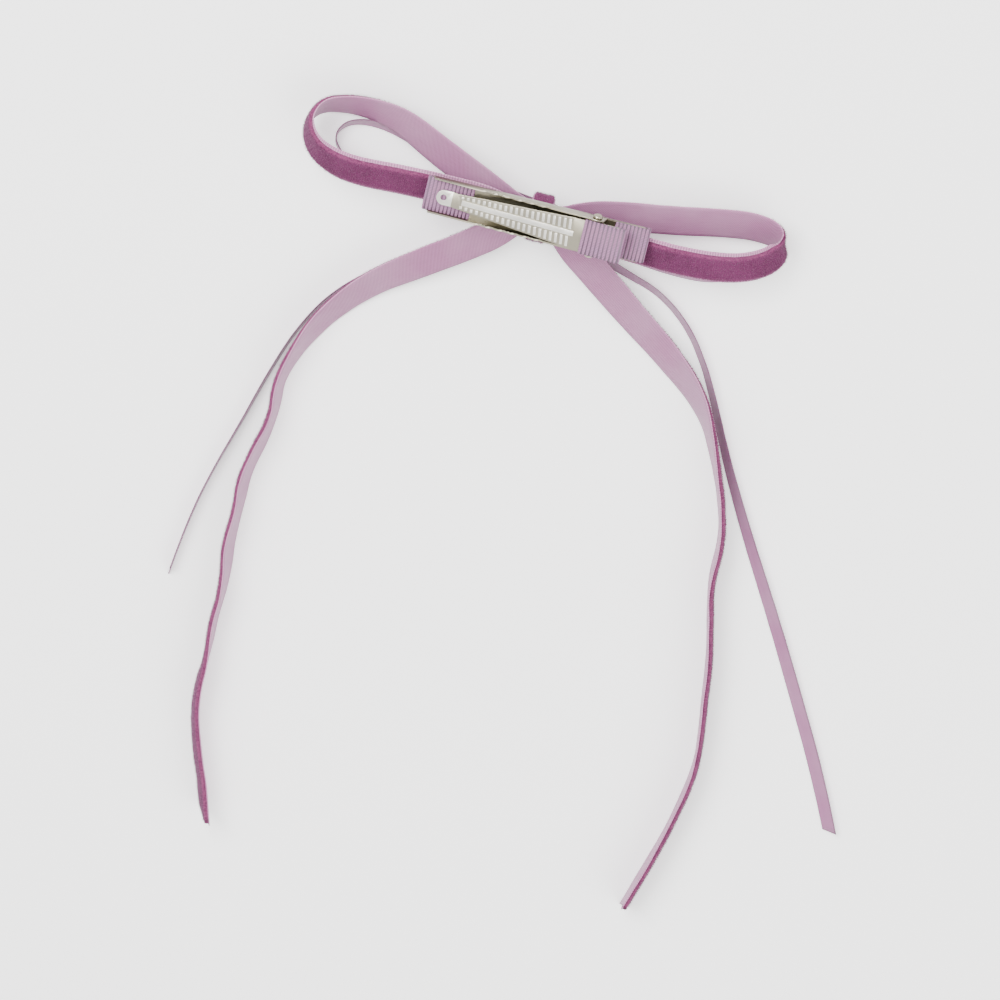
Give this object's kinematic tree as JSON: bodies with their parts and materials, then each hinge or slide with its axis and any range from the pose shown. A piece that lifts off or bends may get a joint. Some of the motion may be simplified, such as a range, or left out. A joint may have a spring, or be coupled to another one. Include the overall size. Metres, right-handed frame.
{
  "type": "bow barrette",
  "caption": "Sprung steel jaw hair clip, lined and trimmed with grosgrain ribbon, with a long-tailed bow of velvet and narrow satin ribbon on its back.",
  "frame": {"origin": "midway along the jaw clip, on the middle plane where the two jaws close on the hair", "axes": "+X along the clip towards its levers, +Y along the hinge pin and opposite to the way the tails hang, +Z out of the clip towards the toothed jaw"},
  "size_m": [0.184, 0.2017, 0.0232],
  "materials": {
    "plated_steel": "bright nickel plate on pressed sheet",
    "bright_steel": "bright nickel plate, pressed bars",
    "spring_wire": "drawn spring wire",
    "grosgrain": "ribbed grosgrain ribbon, lilac grey",
    "velvet": "short-pile velvet ribbon, plum, with a satin back",
    "satin": "narrow double-face satin ribbon, dusty mauve",
    "glue": "hot-melt glue, translucent",
    "thread": "spun polyester thread"
  },
  "bodies": {
    "clip_and_bow": {"base_jaw": "plated_steel", "hinge_pin": "plated_steel", "spring_coil": "spring_wire", "jaw_lining_ribbon": "grosgrain", "lining_glue_film": "glue", "lever_wrap_ribbon": "grosgrain", "bow_glue_pad": "glue", "velvet_knot_band": "velvet", "binding_thread": "thread", "velvet_loop_left": "velvet", "velvet_loop_right": "velvet", "velvet_tail_left": "velvet", "velvet_tail_right": "velvet", "satin_loop_left": "satin", "satin_loop_right": "satin", "satin_tail_left": "satin", "satin_tail_right": "satin"},
    "moving_jaw": {"toothed_jaw": "bright_steel", "spring_leg": "spring_wire", "lever_cover_ribbon": "grosgrain"}
  },
  "joints": [
    {"name": "jaw_hinge", "type": "hinge", "parent": "clip_and_bow", "child": "moving_jaw", "pos_m": [0.0145, 0, 0.0011], "axis": [0, 1, 0], "range_deg": [0, 24], "stiffness_Nm_per_rad": 0.05, "springref_deg": -57.3}
  ]
}
